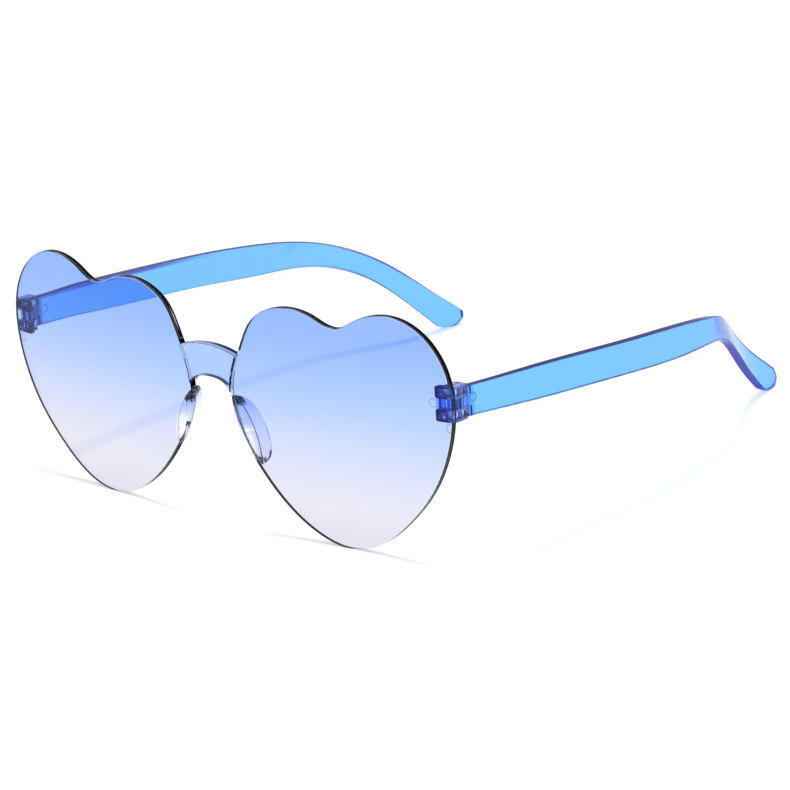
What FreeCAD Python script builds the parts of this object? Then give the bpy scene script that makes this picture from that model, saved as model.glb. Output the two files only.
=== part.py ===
import FreeCAD, Part
import math
import os

# Heart shaped sunglasses. Lengths in mm, angles in degrees.
# The pieces are drawn with the lenses upright: X to the right as seen from the front, Y from
# the front to the ear tips, Z up from the lens tips. At the end the whole pair is tipped so
# that the lens tips and the ear tips stand on one floor.

# lenses
front_width = 145.8
lens_gap = 13.4
lens_height = 59.85
lens_thickness = 1.9
lens_radius = 530.0
lens_mid_height = 34.5
lens_edge_round = 0.35
# heart outline: share of the width from the inner side, share of the height from the tip
heart_shares = (
    (0.509, 0.000),
    (0.637, 0.037),
    (0.779, 0.155),
    (0.893, 0.300),
    (0.971, 0.477),
    (1.000, 0.672),
    (0.984, 0.787),
    (0.939, 0.883),
    (0.868, 0.956),
    (0.777, 0.996),
    (0.677, 0.995),
    (0.584, 0.957),
    (0.514, 0.921),
    (0.460, 0.926),
    (0.400, 0.952),
    (0.331, 0.969),
    (0.257, 0.968),
    (0.183, 0.945),
    (0.118, 0.897),
    (0.075, 0.826),
    (0.043, 0.747),
    (0.014, 0.666),
    (0.000, 0.580),
    (0.009, 0.491),
    (0.036, 0.409),
    (0.119, 0.263),
    (0.226, 0.136),
    (0.292, 0.080),
    (0.370, 0.033),
)

# bridge
bridge_top = 45.65
bridge_height = 8.3
bridge_top_sag = 0.8
bridge_arch_rise = 4.6
bridge_thickness = 2.6
bridge_proud = 0.3
bridge_edge_round = 0.5
# lower edge from the middle: share of the half gap, share of the rise
bridge_arch_shares = ((0.0, 0.0), (0.30, 0.025), (0.61, 0.13), (0.91, 0.44), (1.03, 1.0))

# nose pads
pad_top = 33.4
pad_bottom = 16.9
pad_depth = 4.7
pad_width = 3.6
pad_ridge_width = 1.0
pad_lean = 2.0
pad_edge_inset = 0.15
# side view of a pad: share of its height from the bottom, share of its depth
pad_side_shares = (
    (0.00, 0.00),
    (0.10, 0.62),
    (0.30, 0.94),
    (0.50, 1.00),
    (0.72, 0.90),
    (0.92, 0.52),
    (1.00, 0.00),
)

# hinges
hinge_height = 40.3
pin_inset = 1.9
pin_setback = 2.35
ear_height = 3.0
ear_radius = 1.75
ear_reach = 3.5
ear_foot = 0.45
ear_toe_round = 0.5
tongue_height = 2.4
tongue_play = 0.1
shoulder_gap = 0.15
web_inset = 1.0
web_width = 0.8
web_thickness = 1.2

# hinge screws
screw_diameter = 1.4
screw_head_diameter = 2.4
screw_head_height = 0.8
screw_slot_width = 0.36
screw_slot_depth = 0.4
screw_grip = 2.3
screw_tip_room = 0.2
screw_head_play = 0.05
ear_hole_play = 0.03
tongue_hole_play = 0.05

# temples
temple_thickness = 2.2
temple_height = 8.6
temple_reach = 143.0
temple_drop = 39.2
temple_toe_in = 17.2
temple_edge_round = 0.4
temple_seat = 0.75
tip_edge_round = 0.35
# middle line from the shoulder: share of the reach, of the toe-in (less is outward) and of the drop
temple_path_shares = (
    (0.000, 0.000, 0.005),
    (0.079, -0.044, 0.028),
    (0.169, -0.073, 0.055),
    (0.273, -0.084, 0.089),
    (0.420, -0.088, 0.138),
    (0.571, 0.014, 0.196),
    (0.654, 0.130, 0.232),
    (0.712, 0.296, 0.279),
    (0.760, 0.496, 0.351),
    (0.810, 0.704, 0.465),
    (0.868, 0.884, 0.642),
    (0.919, 0.968, 0.802),
    (0.950, 0.991, 0.893),
    (0.992, 1.003, 1.031),
)
# at each point of that line: share of the full height of the arm, and its lean outward
temple_height_shares = (
    0.880, 0.907, 0.977, 1.000, 1.000, 0.965, 0.830, 0.735, 0.685, 0.685,
    0.730, 0.815, 0.880, 0.965,
)
temple_leans = (0, 0, 2, 3, 3, 2, 1, -3, -10, -17, -19, -16, -14, -13)
# side view of the ear tip: share of the reach, share of the drop
tip_shares = (
    (0.981, 0.843), (0.989, 0.881), (0.992, 0.912), (0.993, 0.943),
    (0.989, 0.969), (0.982, 0.987), (0.973, 0.995), (0.963, 0.996),
    (0.953, 0.992), (0.942, 0.981), (0.931, 0.961), (0.919, 0.934),
)

# sizes that follow from those above
lens_width = (front_width - lens_gap) / 2
pin_offset = front_width / 2 - pin_inset
slot_height = tongue_height + 2 * tongue_play
screw_radius = screw_diameter / 2
lens_back_radius = lens_radius - lens_thickness

os.makedirs("parts", exist_ok=True)
vec = FreeCAD.Vector
x_axis = vec(1, 0, 0)
y_axis = vec(0, 1, 0)
z_axis = vec(0, 0, 1)


def sphere(radius):
    return Part.makeSphere(radius, vec(0, lens_radius, lens_mid_height))


def lens_back(x, z):
    rise = z - lens_mid_height
    return lens_radius - math.sqrt(lens_back_radius ** 2 - x ** 2 - rise ** 2)


pin_depth = lens_back(pin_offset, hinge_height) + pin_setback
shoulder_depth = pin_depth + ear_radius + shoulder_gap


def heart_point(across, up):
    return vec(lens_gap / 2 + across * lens_width, -lens_thickness, up * lens_height)


def spline(points, closed=False):
    curve = Part.BSplineCurve()
    curve.interpolate(Points=points, PeriodicFlag=closed)
    return curve.toShape()


def prism(edges, direction):
    return Part.Face(Part.Wire(edges)).extrude(direction)


def heart_prism():
    outline = spline([heart_point(*share) for share in heart_shares], True)
    return prism([outline], y_axis * (pin_depth + 2 * lens_thickness))


def lens():
    solid = heart_prism().common(sphere(lens_radius)).cut(sphere(lens_back_radius))
    rims = [edge for edge in solid.Edges if edge.Length > lens_width]
    return solid.makeFillet(lens_edge_round, rims)


def bridge():
    side = lens_gap
    front = lens_thickness / 2 - bridge_thickness / 2 - bridge_proud / 2
    sag = bridge_top_sag * (2 * side / lens_gap) ** 2
    crown = bridge_top - sag
    top = Part.Arc(vec(-side, front, crown), vec(0, front, bridge_top), vec(side, front, crown)).toShape()
    low = bridge_top - bridge_height
    half = []
    for across, down in bridge_arch_shares:
        half.append(vec(across * lens_gap / 2, front, low - down * bridge_arch_rise))
    arch = spline(list(reversed(half[1:])) + [vec(-point.x, front, point.z) for point in half])
    corners = [vec(side, front, crown), vec(side, front, half[-1].z), half[-1]]
    outline = [top, arch]
    for sign in (1, -1):
        turned = [vec(sign * point.x, front, point.z) for point in corners]
        outline += [Part.LineSegment(turned[0], turned[1]).toShape()]
        outline += [Part.LineSegment(turned[1], turned[2]).toShape()]
    bar = prism(Part.sortEdges(outline)[0], y_axis * bridge_thickness)
    rims = [edge for edge in bar.Edges if edge.Length > lens_gap]
    bar = bar.makeFillet(bridge_edge_round, rims)
    lens_space = heart_prism()
    return bar.cut(lens_space).cut(mirrored(lens_space))


def mirrored(shape):
    return shape.mirror(vec(0, 0, 0), x_axis)


def edge_at(height):
    # inner side of the lens at a height, on the heart outline
    outline = spline([heart_point(*share) for share in heart_shares], True)
    line = Part.LineSegment(vec(0, -lens_thickness, height), vec(lens_width / 2, -lens_thickness, height))
    return outline.Curve.intersect(line)[0].X


def pad_leaf(depth, shift, width):
    # outline of a pad across its height, moved out from the nose by shift
    ends = [vec(edge_at(z) + pad_edge_inset + shift, depth, z) for z in (pad_top, pad_bottom)]
    middle = (pad_top + pad_bottom) / 2
    nose_side = vec(edge_at(middle) + pad_edge_inset + shift, depth, middle)
    across = (ends[0] - ends[1]).cross(y_axis).normalize()
    outer_side = nose_side + across * math.copysign(width, across.x)
    nose_arc = Part.Arc(ends[0], nose_side, ends[1]).toShape()
    return Part.Wire([nose_arc, Part.Arc(ends[1], outer_side, ends[0]).toShape()])


def nose_pad():
    middle = (pad_top + pad_bottom) / 2
    tall = pad_top - pad_bottom
    base = lens_back(edge_at(middle), middle)
    root = pad_leaf(base - pad_depth, -pad_lean, 2 * pad_width - pad_ridge_width)
    ridge = pad_leaf(base + pad_depth, pad_lean, pad_ridge_width)
    wing = Part.makeLoft([root, ridge], True, True)
    side = []
    for up, back in pad_side_shares:
        side.append(vec(-lens_gap, base + back * pad_depth, pad_bottom + up * tall))
    front = [vec(-lens_gap, -pad_depth, pad_top), vec(-lens_gap, -pad_depth, pad_bottom)]
    outline = [spline(side)]
    for start, end in ((side[-1], front[0]), (front[0], front[1]), (front[1], side[0])):
        outline.append(Part.LineSegment(start, end).toShape())
    wing = wing.common(prism(outline, x_axis * front_width))
    return wing.common(sphere(lens_back_radius))


def pin_cylinder(radius, low, high):
    return Part.makeCylinder(radius, high - low, vec(pin_offset, pin_depth, low))


def block_box(x_low, x_high, y_low, y_high, z_low, z_high):
    corner = vec(x_low, y_low, z_low)
    return Part.makeBox(x_high - x_low, y_high - y_low, z_high - z_low, corner)


def ear(low):
    high = low + ear_height
    floor = pin_depth - pin_setback - lens_thickness
    inner = pin_offset - ear_radius
    outer = pin_offset + ear_radius
    barrel = pin_cylinder(ear_radius, low, high)
    root = block_box(inner, outer, floor, pin_depth, low, high)
    stop = block_box(pin_offset, outer, floor, pin_depth + ear_radius, low, high)
    toe = pin_offset - ear_reach
    foot_top = pin_depth - pin_setback + ear_foot
    ramp = Part.makePolygon(
        [
            vec(toe, floor, low),
            vec(toe, foot_top, low),
            vec(inner, pin_depth - pin_setback + web_thickness, low),
            vec(inner, floor, low),
            vec(toe, floor, low),
        ]
    )
    foot = Part.Face(ramp).extrude(z_axis * ear_height)
    toes = []
    for edge in foot.Edges:
        if edge.BoundBox.XMax < toe + ear_toe_round and edge.BoundBox.ZLength < ear_toe_round:
            toes.append(edge)
    return barrel.fuse([root, stop, foot.makeFillet(ear_toe_round, toes)])


def hinge_block():
    low_top = hinge_height - slot_height / 2
    high_low = hinge_height + slot_height / 2
    top = high_low + ear_height
    web_start = pin_offset - ear_reach + web_inset
    floor = pin_depth - pin_setback - lens_thickness
    web_back = pin_depth - pin_setback + web_thickness
    web = block_box(web_start, web_start + web_width, floor, web_back, low_top, high_low)
    block = ear(low_top - ear_height).fuse([ear(high_low), web])
    hole_bottom = low_top - screw_grip - screw_tip_room
    block = block.cut(pin_cylinder(screw_radius, hole_bottom, low_top))
    block = block.cut(pin_cylinder(screw_radius + ear_hole_play, high_low, top))
    recess = pin_cylinder(screw_head_diameter / 2 + screw_head_play, top - screw_head_height, top)
    return block.cut(recess).common(sphere(lens_back_radius)).removeSplitter()


def hinge_screw():
    top = hinge_height + slot_height / 2 + ear_height
    under_head = top - screw_head_height
    tip = hinge_height - slot_height / 2 - screw_grip
    shank = pin_cylinder(screw_radius, tip, under_head)
    screw = pin_cylinder(screw_head_diameter / 2, under_head, top).fuse(shank)
    half = screw_slot_width / 2
    reach = screw_head_diameter
    slot = block_box(
        pin_offset - half,
        pin_offset + half,
        pin_depth - reach,
        pin_depth + reach,
        top - screw_slot_depth,
        top + screw_slot_depth,
    )
    return screw.cut(slot).removeSplitter()


def temple_point(along, inward, down):
    return vec(
        pin_offset + temple_seat - inward * temple_toe_in,
        shoulder_depth + along * temple_reach,
        hinge_height - down * temple_drop,
    )


def section(centre, along, tall, lean):
    # rectangle across the arm with rounded corners
    out = vec(along.y, -along.x, 0).normalize()
    up = out.cross(along).normalize()
    if up.z < 0:
        up = up * -1
    turn = math.radians(lean)
    rise = up * math.cos(turn) + out * math.sin(turn)
    side = out * math.cos(turn) - up * math.sin(turn)
    half_up = tall / 2 - temple_edge_round
    half_out = temple_thickness / 2 - temple_edge_round
    hubs = []
    for sign_out, sign_up in ((1, 1), (-1, 1), (-1, -1), (1, -1)):
        hub = centre + side * (sign_out * half_out) + rise * (sign_up * half_up)
        hubs.append((hub, side * sign_out, rise * sign_up))
    edges = []
    for index, (hub, outward, upward) in enumerate(hubs):
        ways = (outward, upward) if index % 2 == 0 else (upward, outward)
        diagonal = (outward + upward).normalize()
        bend = [hub + way * temple_edge_round for way in (ways[0], diagonal, ways[1])]
        next_hub = hubs[(index + 1) % len(hubs)][0]
        edges.append(Part.Arc(*bend).toShape())
        edges.append(Part.LineSegment(bend[-1], next_hub + ways[1] * temple_edge_round).toShape())
    return Part.Wire(edges)


def temple_arm():
    points = [temple_point(*share) for share in temple_path_shares]
    middle = Part.BSplineCurve()
    middle.interpolate(points)
    wires = []
    for index, point in enumerate(points):
        along = middle.tangent(middle.parameter(point))[0]
        if index == 0:
            along = y_axis
        tall = temple_height * temple_height_shares[index]
        wires.append(section(point, along, tall, temple_leans[index]))
    room = past_tip()
    arm = Part.makeLoft(wires, True, False).cut(room)
    rim = []
    for edge in arm.Edges:
        halfway = edge.valueAt((edge.FirstParameter + edge.LastParameter) / 2)
        if Part.Vertex(halfway).distToShape(room)[0] < tip_edge_round / 1000:
            rim.append(edge)
    return arm.makeFillet(tip_edge_round, rim)


def past_tip():
    # room behind and below the rounded ear tip
    outline = [temple_point(along, 1, down) for along, down in tip_shares]
    inner = outline[0].x - temple_toe_in
    for point in outline:
        point.x = inner
    # the cut runs on past the lower end of the outline until it has left the arm
    lead = outline[-1] + (outline[-1] - outline[-2]).normalize() * temple_height
    low = vec(inner, lead.y, -temple_drop)
    far = vec(inner, temple_reach + temple_drop, -temple_drop)
    high = vec(inner, far.y, outline[0].z)
    corners = (outline[-1], lead, low, far, high, outline[0])
    edges = [spline(outline)]
    for start, end in zip(corners, corners[1:]):
        edges.append(Part.LineSegment(start, end).toShape())
    return prism(edges, x_axis * (2 * temple_toe_in))


def tongue():
    low = hinge_height - tongue_height / 2
    high = hinge_height + tongue_height / 2
    start_x = pin_offset + temple_seat
    half = temple_thickness / 2
    web = block_box(
        start_x - half,
        pin_offset + ear_radius,
        pin_depth,
        shoulder_depth + temple_thickness,
        low,
        high,
    )
    return pin_cylinder(ear_radius, low, high).fuse(web)


def temple():
    hole = pin_cylinder(screw_radius + tongue_hole_play, 0, lens_height)
    return temple_arm().fuse(tongue()).cut(hole).removeSplitter()


def lowest(shape):
    return shape.optimalBoundingBox(False, False).ZMin


right = {
    "lens": lens(),
    "nose_pad": nose_pad(),
    "hinge_block": hinge_block(),
    "hinge_screw": hinge_screw(),
    "temple": temple(),
}
pieces = {"bridge": bridge()}
for name, shape in right.items():
    pieces[name + "_right"] = shape
    pieces[name + "_left"] = mirrored(shape)

# tip the pair about X until the lens tips and the ear tips are level
tilt = 0
for step in range(6):
    turned = {name: right[name].rotated(vec(0, 0, 0), x_axis, tilt) for name in ("lens", "temple")}
    fall = lowest(turned["lens"]) - lowest(turned["temple"])
    tilt += math.degrees(math.atan2(fall, temple_reach))
boxes = FreeCAD.BoundBox()
for name, shape in pieces.items():
    pieces[name] = shape.rotated(vec(0, 0, 0), x_axis, tilt)
    boxes.add(pieces[name].optimalBoundingBox(False, False))
shift = vec(0, -(boxes.YMin + boxes.YMax) / 2, -boxes.ZMin)
for name, shape in pieces.items():
    pieces[name] = shape.translated(shift)
    pieces[name].exportStep("parts/" + name + ".step")
    made = pieces[name]
    print(name, "solids", len(made.Solids), "valid", made.isValid(), "volume", round(made.Volume, 2))

turn = FreeCAD.Rotation(x_axis, tilt)
pin = turn.multVec(vec(pin_offset, pin_depth, hinge_height)) + shift
print("tilt", tilt, "pin", pin, "axis", turn.multVec(z_axis), "shift", shift)
print("box", boxes.XLength, boxes.YLength, boxes.ZLength)
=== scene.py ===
import math

import bpy
import bmesh
from mathutils import Euler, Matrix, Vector

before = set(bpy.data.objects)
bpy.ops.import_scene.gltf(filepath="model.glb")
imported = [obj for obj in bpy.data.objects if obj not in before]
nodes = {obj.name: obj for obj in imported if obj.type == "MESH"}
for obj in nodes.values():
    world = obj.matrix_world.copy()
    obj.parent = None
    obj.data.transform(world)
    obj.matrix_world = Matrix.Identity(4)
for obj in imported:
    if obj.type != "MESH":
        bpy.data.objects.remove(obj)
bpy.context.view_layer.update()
scene = bpy.context.scene
scene.view_settings.view_transform = "Standard"
print("frame loaded:", len(nodes), "pieces")


# small helpers for material nodes
def newMaterial(name):
    material = bpy.data.materials.new(name)
    material.use_nodes = True
    material.node_tree.nodes.clear()
    return material


def addNode(material, kind, **settings):
    node = material.node_tree.nodes.new(kind)
    for name, value in settings.items():
        setattr(node, name, value)
    return node


def feed(material, source, target):
    material.node_tree.links.new(source, target)


def math2(material, kind, first, second=None):
    node = addNode(material, "ShaderNodeMath", operation=kind)
    for index, value in enumerate((first, second)):
        if value is None:
            continue
        if isinstance(value, (int, float)):
            node.inputs[index].default_value = value
        else:
            feed(material, value, node.inputs[index])
    return node.outputs[0]


def inverse(material, share):
    return math2(material, "SUBTRACT", 1.0, share)


def times(material, *shares):
    total = shares[0]
    for share in shares[1:]:
        total = math2(material, "MULTIPLY", total, share)
    return total


def either(material, first, second):
    return math2(material, "MAXIMUM", first, second)


def remap(material, source, low, high, smooth=True, result=(0.0, 1.0)):
    node = addNode(material, "ShaderNodeMapRange")
    node.interpolation_type = "SMOOTHSTEP" if smooth else "LINEAR"
    feed(material, source, node.inputs["Value"])
    for socket, value in zip(("From Min", "From Max", "To Min", "To Max"), (low, high, *result)):
        node.inputs[socket].default_value = value
    return node.outputs["Result"]


def between(material, value, span, soft):
    # 1 inside the span, with soft ends
    low, high = span
    rise = remap(material, value, low - soft, low + soft)
    return times(material, rise, inverse(material, remap(material, value, high - soft, high + soft)))


def ramp(material, source, stops):
    node = addNode(material, "ShaderNodeValToRGB")
    feed(material, source, node.inputs["Fac"])
    bar = node.color_ramp
    bar.interpolation = "B_SPLINE"
    while len(bar.elements) < len(stops):
        bar.elements.new(0.5)
    for element, (place, colour) in zip(bar.elements, stops):
        element.position = place
        element.color = (*colour, 1)
    return node.outputs["Color"]


def blendColour(material, amount, first, second):
    node = addNode(material, "ShaderNodeMix", data_type="RGBA")
    feed(material, amount, node.inputs["Factor"])
    for socket, value in ((node.inputs["A"], first), (node.inputs["B"], second)):
        if isinstance(value, tuple):
            socket.default_value = (*value, 1)
        else:
            feed(material, value, socket)
    return node.outputs["Result"]


def noise(material, scale, detail):
    node = addNode(material, "ShaderNodeTexNoise")
    node.inputs["Scale"].default_value = scale
    node.inputs["Detail"].default_value = detail
    feed(material, objectPlace(material), node.inputs["Vector"])
    return node.outputs["Fac"]


# where a point of a piece lies and which way it faces; the dome is the front of both lenses
partShape = {"domeCentre": (0, 0.45387, 0.02994), "domeRadius": 0.530, "middle": (-0.001, 0.001)}


def objectPlace(material):
    return addNode(material, "ShaderNodeTexCoord").outputs["Object"]


def ownNormal(material):
    return addNode(material, "ShaderNodeTexCoord").outputs["Normal"]


def backOfFace(material):
    return addNode(material, "ShaderNodeNewGeometry").outputs["Backfacing"]


def axisOf(material, vector, axis):
    split = addNode(material, "ShaderNodeSeparateXYZ")
    feed(material, vector, split.inputs["Vector"])
    return split.outputs[axis]


def placeOf(material, axis):
    return axisOf(material, objectPlace(material), axis)


def sidewaysOf(material):
    return math2(material, "ABSOLUTE", placeOf(material, "X"))


def onRight(material):
    return remap(material, placeOf(material, "X"), *partShape["middle"])


def onLeft(material):
    return inverse(material, onRight(material))


def depthInside(material):
    # depth behind the domed front of the lenses
    away = addNode(material, "ShaderNodeVectorMath", operation="DISTANCE")
    feed(material, objectPlace(material), away.inputs[0])
    away.inputs[1].default_value = partShape["domeCentre"]
    return math2(material, "SUBTRACT", partShape["domeRadius"], away.outputs["Value"])


def wallShare(material, axis, turn):
    # 1 on the narrow walls, 0 on the broad faces, by the piece's own normals
    facing = math2(material, "ABSOLUTE", axisOf(material, ownNormal(material), axis))
    return inverse(material, remap(material, facing, *turn))


def outwardOf(material, axis):
    # the normal's part along an axis, always pointing out of the piece
    turn = math2(material, "SUBTRACT", 1.0, math2(material, "MULTIPLY", backOfFace(material), 2.0))
    return math2(material, "MULTIPLY", axisOf(material, ownNormal(material), axis), turn)


def covered(material, share, look):
    # a wall is dark from outside the plastic, and partly clear from inside it
    covers = (look["wallCover"], look["innerCover"])
    return times(material, share, remap(material, backOfFace(material), 0.0, 1.0, False, covers))


def farFrom(material, axes, centre):
    # distance from a centre that both sides of the part have
    squares = []
    for axis, middle in zip(axes, centre):
        value = sidewaysOf(material) if axis == "X" else placeOf(material, axis)
        off = math2(material, "SUBTRACT", value, middle)
        squares.append(math2(material, "MULTIPLY", off, off))
    return math2(material, "SQRT", math2(material, "ADD", *squares))


def ringMark(material, axes, centre, look):
    # thin round mark that a mould pin leaves
    half = look["ringLine"] / 2
    span = (look["ringRadius"] - half, look["ringRadius"] + half)
    return between(material, farFrom(material, axes, centre), span, half)


# clear moulded plastic: light goes through it and lamps shine through with a pale tint; paint
# gives its colour, the share of it that is dark, and the share where light goes straight on
plasticLook = {"specular": 0.5, "waveDetail": 1.0, "waveDepth": 0.0002}


def clearPlastic(name, look, paint):
    material = newMaterial(name)
    body = addNode(material, "ShaderNodeBsdfPrincipled")
    body.inputs["IOR"].default_value = look["ior"]
    body.inputs["Roughness"].default_value = look["roughness"]
    body.inputs["Specular Tint"].default_value = (look["shine"], look["shine"], look["shine"], 1)
    colour, dark, straight = paint(material, look)
    feed(material, colour, body.inputs["Base Color"])
    clear = inverse(material, dark)
    feed(material, clear, body.inputs["Transmission Weight"])
    specular = math2(material, "MULTIPLY", clear, plasticLook["specular"])
    feed(material, specular, body.inputs["Specular IOR Level"])
    bump = addNode(material, "ShaderNodeBump")
    bump.inputs["Strength"].default_value = look["waveStrength"]
    bump.inputs["Distance"].default_value = plasticLook["waveDepth"]
    wave = noise(material, look["waveScale"], plasticLook["waveDetail"])
    feed(material, wave, bump.inputs["Height"])
    feed(material, bump.outputs["Normal"], body.inputs["Normal"])
    through = addNode(material, "ShaderNodeBsdfTransparent")
    feed(material, blendColour(material, dark, look["lampTint"], look["shade"]), through.inputs["Color"])
    passing = addNode(material, "ShaderNodeLightPath").outputs["Is Shadow Ray"]
    if straight is not None:
        passing = either(material, passing, straight)
    swap = addNode(material, "ShaderNodeMixShader")
    feed(material, passing, swap.inputs["Fac"])
    feed(material, body.outputs["BSDF"], swap.inputs[1])
    feed(material, through.outputs["BSDF"], swap.inputs[2])
    out = addNode(material, "ShaderNodeOutputMaterial")
    feed(material, swap.outputs["Shader"], out.inputs["Surface"])
    if "inside" in look:
        inside = addNode(material, "ShaderNodeVolumeAbsorption")
        inside.inputs["Color"].default_value = (*look["inside"], 1)
        inside.inputs["Density"].default_value = look["depth"]
        feed(material, inside.outputs["Volume"], out.inputs["Volume"])
    return material


# lenses: tinted blue from the top, fading to a pale pinkish white, with polished walls in painted
# shade, nearly black; pairs ending in Turn are shares of the normal, other pairs are in metres
lensLook = {
    "ior": 1.5, "shine": 0.25, "roughness": 0.0, "waveScale": 40, "waveStrength": 0.02,
    "lampTint": (0.80, 0.81, 0.86), "shade": (0.05, 0.05, 0.10),
    "tintHeight": (0.0, 0.0599),
    "stops": (
        (0.08, (0.704, 0.699, 0.770)),
        (0.17, (0.750, 0.727, 0.788)),
        (0.27, (0.691, 0.700, 0.800)),
        (0.37, (0.614, 0.659, 0.858)),
        (0.47, (0.533, 0.627, 0.904)),
        (0.57, (0.433, 0.568, 0.919)),
        (0.67, (0.368, 0.533, 0.910)),
        (0.77, (0.334, 0.494, 0.901)),
        (0.87, (0.278, 0.449, 0.906)),
    ),
    "rim": (0.97, 0.98, 1.00), "edgeTurn": (0.60, 0.97),
    "wall": (0.004, 0.004, 0.016), "wallCover": 0.98, "innerCover": 0.97,
    "sideTurn": (0.12, 0.45), "leftTurn": (-0.05, 0.20),
    "wallStart": (0.00035, 0.00055), "seamStart": (0.00140, 0.00160),
    "slimSide": (0.0560, 0.0640), "slimHeight": (0.0370, 0.0520), "slimBy": 0.00050,
    "padReach": (0.0165, 0.0175), "padHeight": (0.0180, 0.0325), "stretchSoft": 0.0004,
    "bridgeReach": (0.0100, 0.0110), "bridgeHeight": (0.0335, 0.0452),
    "weldUpper": (0.0390, 0.0402), "weldTurn": (0.80, 0.985),
    "streakHighlight": (0.90, 0.92, 0.98), "streakDepth": (0.0009, 0.00115),
    "streakSide": (0.0078, 0.0128), "streakHeight": (0.0480, 0.0565),
    "streakSoft": (0.0001, 0.0010, 0.0015),
    "backDepth": (0.0014, 0.0017),
    "ringRadius": 0.00100, "ringLine": 0.00020, "ringInk": (0.08, 0.12, 0.36),
    "rings": ((0.0713, 0.0346), (0.0670, 0.0404)),
    "slot": (0.97, 0.985, 1.00), "slotCentre": (-0.00484, 0.01888), "slotReach": (0.01830, 0.01850),
    "slotHeight": (0.0195, 0.0258), "slotSoft": 0.0020,
    "hingeWall": (0.005, 0.04, 0.30), "hingeSide": (0.0680, 0.0700),
    "hingeHeight": (0.0366, 0.0442), "hingeSoft": 0.0004,
    "bond": (0.05, 0.15, 0.78), "bondSide": (0.0677, 0.0716), "bondHeight": (0.0390, 0.0416),
    "bondSoft": 0.0002,
}


def innerStretch(material, reach, height, soft):
    # 1 on the stretch of the inner wall that another piece grows out of
    near = inverse(material, remap(material, sidewaysOf(material), *reach))
    return times(material, near, between(material, placeOf(material, "Z"), height, soft))


def lensPaint(material, look):
    up = placeOf(material, "Z")
    sideways = sidewaysOf(material)
    deep = depthInside(material)
    fade = ramp(material, remap(material, up, *look["tintHeight"], False), look["stops"])
    # mould marks and the hinge joint on the back, and near-white painted light over the pad's root
    back = remap(material, deep, *look["backDepth"])
    for centre in look["rings"]:
        mark = times(material, ringMark(material, "XZ", centre, look), back)
        fade = blendColour(material, mark, fade, look["ringInk"])
    away = farFrom(material, "XZ", look["slotCentre"])
    slot = times(material, inverse(material, remap(material, away, *look["slotReach"])),
                 between(material, up, look["slotHeight"], look["slotSoft"]))
    fade = blendColour(material, slot, fade, look["slot"])
    bond = times(material, between(material, sideways, look["bondSide"], look["bondSoft"]), back,
                 between(material, up, look["bondHeight"], look["bondSoft"]))
    fade = blendColour(material, bond, fade, look["bond"])
    # a painted highlight on the rounded edge, painted shade on it where it faces left, and the painted
    # shade of the wall, slimmer low on the outer side
    edge = wallShare(material, "Y", look["edgeTurn"])
    fade = blendColour(material, edge, fade, look["rim"])
    side = wallShare(material, "Y", look["sideTurn"])
    slim = times(material, remap(material, sideways, *look["slimSide"]),
                 inverse(material, remap(material, up, *look["slimHeight"])))
    kept = math2(material, "SUBTRACT", deep, math2(material, "MULTIPLY", slim, look["slimBy"]))
    wall = times(material, side, remap(material, kept, *look["wallStart"]))
    shadedLeft = inverse(material, remap(material, outwardOf(material, "X"), *look["leftTurn"]))
    wall = either(material, wall, times(material, edge, shadedLeft))
    # beside a pad only the seam keeps the painted shade, and the weld of the bridge is clear
    pad = innerStretch(material, look["padReach"], look["padHeight"], look["stretchSoft"])
    seam = remap(material, deep, *look["seamStart"])
    wall = times(material, wall, either(material, inverse(material, pad), seam))
    hidden = either(material, onLeft(material), remap(material, up, *look["weldUpper"]))
    weld = either(material, side, times(material, hidden, wallShare(material, "Y", look["weldTurn"])))
    bridge = innerStretch(material, look["bridgeReach"], look["bridgeHeight"], look["stretchSoft"])
    welded = times(material, weld, bridge)
    wall = times(material, wall, inverse(material, welded))
    # the wall's painted shade has a thin painted highlight streak, and is deep blue by the right hinge
    spans = (look["streakDepth"], look["streakSide"], look["streakHeight"])
    parts = zip((deep, sideways, up), spans, look["streakSoft"])
    streakHighlight = times(material, *[between(material, value, span, soft) for value, span, soft in parts])
    dark = blendColour(material, streakHighlight, look["wall"], look["streakHighlight"])
    byHinge = times(material, remap(material, placeOf(material, "X"), *look["hingeSide"]),
                    between(material, up, look["hingeHeight"], look["hingeSoft"]))
    dark = blendColour(material, byHinge, dark, look["hingeWall"])
    return blendColour(material, wall, fade, dark), covered(material, wall, look), welded


# arms: clear sky blue, with painted shade in navy on the narrow walls, which turn lighter from the bend on
armLook = {
    "ior": 1.49, "shine": 1.0, "roughness": 0.0, "waveScale": 60, "waveStrength": 0.03,
    "lampTint": (0.94, 0.97, 0.99), "shade": (0.80, 0.86, 0.96),
    "inside": (0.0, 0.70, 0.987), "depth": 700,
    "face": (0.87, 0.86, 0.985), "wall": (0.026, 0.028, 0.22), "wallTurn": (0.50, 0.78),
    "wallCover": 0.97, "innerCover": 0.35,
    "bendWall": (0.16, 0.17, 0.75), "bendStart": (0.0240, 0.0400),
    "bar": (-0.0644, -0.0638), "tongue": (0.0389, 0.0417), "barSoft": 0.0001, "barCover": 0.90,
    "rootEnd": (-0.0634, -0.0624), "rootTint": ((0.10, 0.07, 0.30), (0.24, 0.40, 0.92)),
    "tongueEnd": (-0.0655, -0.0649),
    "tipReach": (0, 0.743, -0.669), "tipTurn": (-0.20, 0.45), "tipStart": (0.0670, 0.0710),
    "leftTip": (0.0722, 0.0738),
    "band": (0.30, 0.15, 0.46), "bandTop": (-0.0538, 0.04295, -0.0893),
    "bandWidth": (0.00072, 0.00099), "bandEnd": (-0.0250, 0.0100),
    "softBend": (0.0330, 0.0480), "softEnds": 0.0050, "softShare": 0.18,
    "ringRadius": 0.00100, "ringLine": 0.00036, "ringInk": (0.02, 0.07, 0.26),
    "ring": (-0.06200, 0.04010), "ringShade": (-0.0631, -0.0613), "ringFaint": 0.4,
    "innerTurn": (-0.03, 0.0),
}


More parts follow.
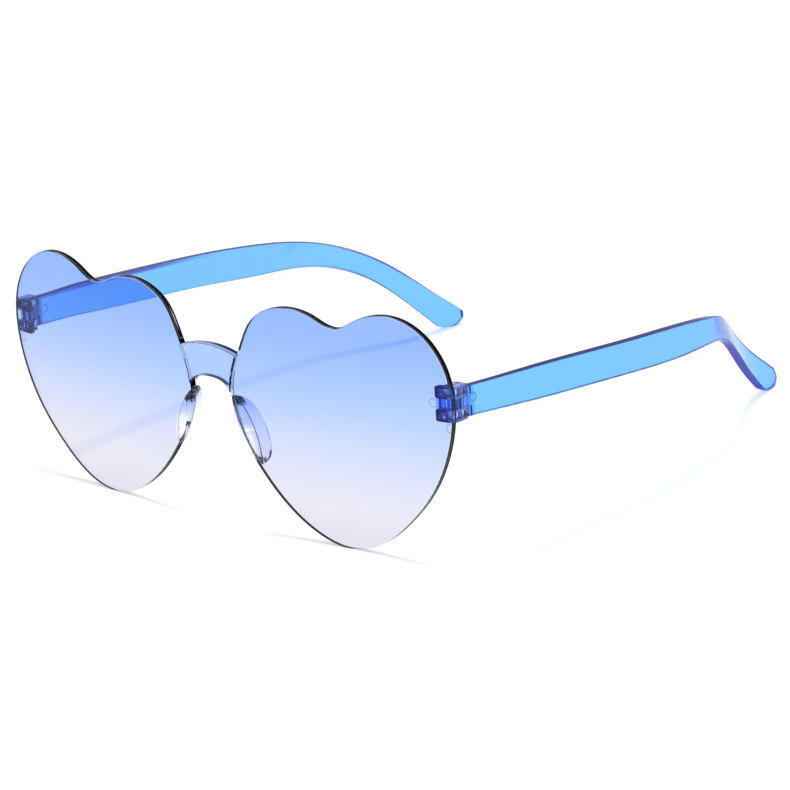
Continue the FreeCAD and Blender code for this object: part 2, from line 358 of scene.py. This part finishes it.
def armPaint(material, look):
    back = placeOf(material, "Y")
    up = placeOf(material, "Z")
    left = onLeft(material)
    # painted shade on the narrow walls, lighter from the bend on
    wall = wallShare(material, "X", look["wallTurn"])
    later = remap(material, back, *look["bendStart"])
    edge = blendColour(material, later, look["wall"], look["bendWall"])
    # the rounded end of the ear tip stays clear
    along = addNode(material, "ShaderNodeVectorMath", operation="DOT_PRODUCT")
    feed(material, ownNormal(material), along.inputs[0])
    along.inputs[1].default_value = look["tipReach"]
    end = times(material, remap(material, along.outputs["Value"], *look["tipTurn"]),
                remap(material, back, *look["tipStart"]))
    end = either(material, end, times(material, left, remap(material, back, *look["leftTip"])))
    wall = times(material, wall, inverse(material, end))
    # mould mark on the face towards the head, fainter at its front
    outward = math2(material, "MULTIPLY", outwardOf(material, "X"), placeOf(material, "X"))
    inner = inverse(material, remap(material, outward, *look["innerTurn"]))
    depth = remap(material, back, *look["ringShade"], True, (look["ringFaint"], 1.0))
    mark = times(material, ringMark(material, "YZ", look["ring"], look), inner, depth)
    face = blendColour(material, mark, look["face"], look["ringInk"])
    # the left arm shows its top wall once more, mirrored in its faces
    startY, startZ, slope = look["bandTop"]
    fall = math2(material, "MULTIPLY", math2(material, "SUBTRACT", back, startY), slope)
    below = math2(material, "SUBTRACT", math2(material, "ADD", fall, startZ), up)
    band = times(material, inverse(material, remap(material, below, *look["bandWidth"])), left,
                 inverse(material, remap(material, back, *look["bandEnd"])))
    face = blendColour(material, band, face, look["band"])
    # the root beside the hinge is a deeper blue, with a dark bar of painted shade above and below the
    # tongue
    root = inverse(material, remap(material, back, *look["rootEnd"]))
    deepBlue = blendColour(material, onRight(material), *look["rootTint"])
    face = blendColour(material, root, face, deepBlue)
    beside = inverse(material, between(material, up, look["tongue"], look["barSoft"]))
    bars = times(material, between(material, back, look["bar"], look["barSoft"]), beside)
    wall = times(material, wall, remap(material, back, *look["tongueEnd"]))
    dark = either(material, covered(material, wall, look), times(material, bars, look["barCover"]))
    # some light goes straight through the bend, which hides the fold there
    bend = between(material, back, look["softBend"], look["softEnds"])
    straight = times(material, bend, inverse(material, wall), look["softShare"])
    return blendColour(material, either(material, wall, bars), face, edge), dark, straight


# bridge: the lens plastic with walls in painted shade, clear where it is welded to the lenses
bridgeLook = {
    "ior": 1.5, "shine": 1.0, "roughness": 0.0, "waveScale": 90, "waveStrength": 0.03,
    "lampTint": (0.965, 0.972, 0.985), "shade": (0.10, 0.10, 0.20),
    "face": (0.36, 0.53, 0.93), "wall": (0.020, 0.014, 0.12), "wallTurn": (0.3, 0.75),
    "wallCover": 0.97, "innerCover": 0.95,
    "belowTurn": (-0.35, -0.12), "underTurn": (0.75, 0.97),
    "topStart": (0.0405, 0.0410), "topFade": (-0.0060, 0.0030), "topFaint": 0.7,
    "topDepth": (0.00025, 0.00050), "topFrontLit": (0.40, 0.55, 0.95), "upTurn": (0.4, 0.7),
    "endTurn": (0.55, 0.75), "endSide": (0.0044, 0.0050), "endHeight": (0.0380, 0.0402),
    "weldStart": (0.0050, 0.0054), "weldDepth": (0.00008, 0.00195), "weldSoft": 0.00004,
}


def bridgePaint(material, look):
    up = placeOf(material, "Z")
    across = placeOf(material, "X")
    deep = depthInside(material)
    ends = inverse(material, wallShare(material, "X", look["endTurn"]))
    welded = times(material, ends, remap(material, sidewaysOf(material), *look["weldStart"]),
                   between(material, deep, look["weldDepth"], look["weldSoft"]))
    # painted shade on the walls, on the lower side up to the faces
    below = inverse(material, remap(material, outwardOf(material, "Z"), *look["belowTurn"]))
    under = times(material, below, wallShare(material, "Y", look["underTurn"]))
    wall = either(material, wallShare(material, "Y", look["wallTurn"]), under)
    wall = times(material, wall, inverse(material, welded))
    # the painted shade of the top wall is fainter on the left, and its front is painted the light blue of
    # the lit face; the right end is clear above
    top = remap(material, up, *look["topStart"])
    leftPart = inverse(material, remap(material, across, *look["topFade"]))
    wall = times(material, wall, inverse(material, times(material, top, leftPart, look["topFaint"])))
    upward = remap(material, outwardOf(material, "Z"), *look["upTurn"])
    rightEnd = times(material, remap(material, across, *look["endSide"]), inverse(material, upward),
                     remap(material, up, *look["endHeight"]))
    wall = times(material, wall, inverse(material, rightEnd))
    front = inverse(material, remap(material, deep, *look["topDepth"]))
    edge = blendColour(material, times(material, front, upward), look["wall"], look["topFrontLit"])
    return blendColour(material, wall, look["face"], edge), covered(material, wall, look), welded


# nose pads: nearly colourless, with a dark root line and patches of painted shade at the ends
padLook = {
    "ior": 1.5, "shine": 0.4, "roughness": 0.0, "waveScale": 120, "waveStrength": 0.03,
    "lampTint": (0.97, 0.98, 1.0), "shade": (0.40, 0.40, 0.55),
    "wall": (0.014, 0.010, 0.13), "wallTurn": (0.5, 0.8), "wallCover": 0.97, "innerCover": 0.8,
    "tintHeight": (0.0170, 0.0334),
    "stops": (
        (0.00, (0.84, 0.82, 0.93)),
        (0.20, (0.92, 0.91, 0.97)),
        (0.50, (0.84, 0.89, 0.99)),
        (0.80, (0.58, 0.72, 0.98)),
        (1.00, (0.36, 0.44, 0.86)),
    ),
    "endLow": (0.0180, 0.0190), "endHigh": (0.0307, 0.0317), "endDepth": (0.0032, 0.0036),
    "patchScale": 420, "patchDetail": 1.0, "patchRange": (0.38, 0.56),
    "rootLine": (0.0019, 0.0022), "rootSoft": 0.0001,
}


def padPaint(material, look):
    up = placeOf(material, "Z")
    deep = depthInside(material)
    tint = ramp(material, remap(material, up, *look["tintHeight"], False), look["stops"])
    # painted shade in patches at the top ends, and at the bottom end of the right pad
    high = remap(material, up, *look["endHigh"])
    low = inverse(material, remap(material, up, *look["endLow"]))
    ends = either(material, high, times(material, low, onRight(material)))
    ends = times(material, ends, inverse(material, remap(material, deep, *look["endDepth"])))
    grain = noise(material, look["patchScale"], look["patchDetail"])
    endShade = times(material, ends, remap(material, grain, *look["patchRange"]))
    root = times(material, between(material, deep, look["rootLine"], look["rootSoft"]),
                 wallShare(material, "Y", look["wallTurn"]))
    dark = either(material, endShade, root)
    return blendColour(material, dark, tint, look["wall"]), covered(material, dark, look), None


# hinge blocks: violet ears with rims of painted shade, patches of painted shade and white painted glints,
# a bright blue web between them and a lighter blue outer end
blockLook = {
    "ior": 1.5, "shine": 0.4, "roughness": 0.0, "waveScale": 900, "waveStrength": 0.25,
    "lampTint": (0.90, 0.93, 1.0), "shade": (0.50, 0.52, 0.75),
    "wall": (0.030, 0.022, 0.22), "wallCover": 0.95, "innerCover": 0.6,
    "outer": (0.30, 0.44, 0.98), "outerTint": (0.50, 0.64, 1.00),
    "outerStart": (0.0706, 0.0716), "outerShare": 0.85,
    "ears": ((0.0361, 0.0390), (0.0416, 0.0446)), "rimWidth": 0.00045, "earSoft": 0.0001,
    "toe": (0.0680, 0.0684), "web": (0.22, 0.48, 1.0),
    "patchScale": 620, "patchDetail": 2.0, "mottledShade": 0.35, "mottledShadeRange": (0.46, 0.60),
    "stops": (
        (0.32, (0.02, 0.015, 0.14)),
        (0.43, (0.05, 0.05, 0.40)),
        (0.53, (0.14, 0.20, 0.85)),
        (0.61, (0.55, 0.70, 1.00)),
        (0.68, (1.00, 1.00, 1.00)),
    ),
}


def blockPaint(material, look):
    up = placeOf(material, "Z")
    sideways = sidewaysOf(material)
    # the grain paints shade and white glints in patches over the ears
    grain = noise(material, look["patchScale"], look["patchDetail"])
    (lowStart, lowEnd), (highStart, highEnd) = look["ears"]
    width = look["rimWidth"]
    lowEar = between(material, up, (lowStart + width, lowEnd - width), look["earSoft"])
    highEar = between(material, up, (highStart + width, highEnd - width), look["earSoft"])
    core = times(material, either(material, lowEar, highEar), remap(material, sideways, *look["toe"]))
    gap = between(material, up, (lowEnd, highStart), look["earSoft"])
    # painted shade on the rims around the ears' cores
    rim = inverse(material, either(material, core, gap))
    outside = remap(material, sideways, *look["outerStart"])
    lighter = times(material, outside, look["outerShare"])
    mottledShade = times(material, core, inverse(material, remap(material, grain, *look["mottledShadeRange"])),
                 inverse(material, lighter), look["mottledShade"])
    dark = either(material, covered(material, rim, look), mottledShade)
    tint = blendColour(material, gap, ramp(material, grain, look["stops"]), look["web"])
    tint = blendColour(material, lighter, tint, look["outerTint"])
    edge = blendColour(material, outside, look["wall"], look["outer"])
    return blendColour(material, rim, tint, edge), dark, None


# screws: blued turned steel
screwLook = {
    "light": (0.50, 0.56, 0.88), "dark": (0.20, 0.23, 0.52), "roughness": (0.22, 0.42),
    "ringScale": 2600, "ringDetail": 2.0,
}


def screwSteel(look):
    material = newMaterial("screw_steel")
    body = addNode(material, "ShaderNodeBsdfPrincipled")
    body.inputs["Metallic"].default_value = 1.0
    rings = noise(material, look["ringScale"], look["ringDetail"])
    feed(material, blendColour(material, rings, look["dark"], look["light"]), body.inputs["Base Color"])
    rough = remap(material, rings, 0.0, 1.0, False, look["roughness"])
    feed(material, rough, body.inputs["Roughness"])
    out = addNode(material, "ShaderNodeOutputMaterial")
    feed(material, body.outputs["BSDF"], out.inputs["Surface"])
    return material


finishes = {
    "lens": clearPlastic("lens_tint", lensLook, lensPaint),
    "temple": clearPlastic("arm_blue", armLook, armPaint),
    "bridge": clearPlastic("bridge_clear", bridgeLook, bridgePaint),
    "nose_pad": clearPlastic("pad_clear", padLook, padPaint),
    "hinge_block": clearPlastic("hinge_clear", blockLook, blockPaint),
    "hinge_screw": screwSteel(screwLook),
}
for name, piece in nodes.items():
    for start, material in finishes.items():
        if name.startswith(start):
            piece.data.materials.clear()
            piece.data.materials.append(material)
print("finishes set:", len(finishes))


# pale floor that reads as white and keeps the shadow, in a white room
stageLook = {
    "floor": (0.86, 0.86, 0.87), "size": 6.0, "grainScale": 900, "grainShade": 0.985,
    "glow": (0.38, 0.46), "glowAcross": (-0.14, -0.02), "farGlow": 0.5, "farReach": (0.35, 1.4),
    "around": 0.40, "room": 1.0,
}


def whiteRays(material):
    # 1 for the rays that see the room, 0 for those that only light things
    path = addNode(material, "ShaderNodeLightPath")
    seen = math2(material, "ADD", path.outputs["Is Camera Ray"], path.outputs["Is Glossy Ray"])
    both = addNode(material, "ShaderNodeMath", operation="ADD", use_clamp=True)
    feed(material, seen, both.inputs[0])
    feed(material, path.outputs["Is Transmission Ray"], both.inputs[1])
    return both.outputs[0]


def makeFloor(look):
    mesh = bpy.data.meshes.new("floor")
    build = bmesh.new()
    bmesh.ops.create_grid(build, x_segments=2, y_segments=2, size=look["size"] / 2)
    build.to_mesh(mesh)
    build.free()
    floor = bpy.data.objects.new("floor", mesh)
    scene.collection.objects.link(floor)
    material = newMaterial("floor_paper")
    paper = addNode(material, "ShaderNodeBsdfDiffuse")
    grain = addNode(material, "ShaderNodeTexNoise")
    grain.inputs["Scale"].default_value = look["grainScale"]
    pale = tuple(channel * look["grainShade"] for channel in look["floor"])
    feed(material, blendColour(material, grain.outputs["Fac"], pale, look["floor"]), paper.inputs["Color"])
    # the floor glows a little, more on the right and far out
    glow = addNode(material, "ShaderNodeEmission")
    level = remap(material, placeOf(material, "X"), *look["glowAcross"], False, look["glow"])
    away = addNode(material, "ShaderNodeVectorMath", operation="LENGTH")
    feed(material, objectPlace(material), away.inputs[0])
    beyond = times(material, remap(material, away.outputs["Value"], *look["farReach"]), look["farGlow"])
    strength = math2(material, "ADD", level, beyond)
    feed(material, times(material, whiteRays(material), strength), glow.inputs["Strength"])
    total = addNode(material, "ShaderNodeAddShader")
    feed(material, paper.outputs["BSDF"], total.inputs[0])
    feed(material, glow.outputs["Emission"], total.inputs[1])
    out = addNode(material, "ShaderNodeOutputMaterial")
    feed(material, total.outputs["Shader"], out.inputs["Surface"])
    mesh.materials.append(material)


def makeRoom(look):
    world = bpy.data.worlds.new("studio")
    scene.world = world
    world.use_nodes = True
    world.node_tree.nodes.clear()
    pick = addNode(world, "ShaderNodeMixShader")
    feed(world, whiteRays(world), pick.inputs["Fac"])
    for index, strength in ((1, look["around"]), (2, look["room"])):
        white = addNode(world, "ShaderNodeBackground")
        white.inputs["Color"].default_value = (1, 1, 1, 1)
        white.inputs["Strength"].default_value = strength
        feed(world, white.outputs["Background"], pick.inputs[index])
    sky = addNode(world, "ShaderNodeOutputWorld")
    feed(world, pick.outputs["Shader"], sky.inputs["Surface"])


makeFloor(stageLook)
makeRoom(stageLook)

# lamps: place, aim, size, strength in watts; the plastic does not mirror them
lamps = {
    "topBox": ((-0.12, 0.0, 1.2), (0, 0, 0.03), 0.22, 5.4),
    "fillBox": ((-0.55, -0.6, 0.9), (0, 0, 0.03), 0.8, 1.6),
}
for name, (place, aim, size, power) in lamps.items():
    light = bpy.data.lights.new(name, "AREA")
    light.size = size
    light.energy = power
    lamp = bpy.data.objects.new(name, light)
    lamp.location = place
    lamp.rotation_euler = (Vector(aim) - Vector(place)).to_track_quat("-Z", "Y").to_euler()
    lamp.visible_glossy = False
    lamp.visible_transmission = False
    scene.collection.objects.link(lamp)

# camera at the photograph's angle
cameraLook = {
    "place": (0.668082, -0.732695, 0.337198), "turn": (71.7395, 3.9349, 41.4929),
    "lens": 185.82, "sensor": 36,
}
cameraData = bpy.data.cameras.new("camera")
cameraData.lens = cameraLook["lens"]
cameraData.sensor_width = cameraLook["sensor"]
camera = bpy.data.objects.new("camera", cameraData)
camera.location = cameraLook["place"]
camera.rotation_euler = Euler([math.radians(angle) for angle in cameraLook["turn"]])
scene.collection.objects.link(camera)
scene.camera = camera
print("stage, lamps and camera set")
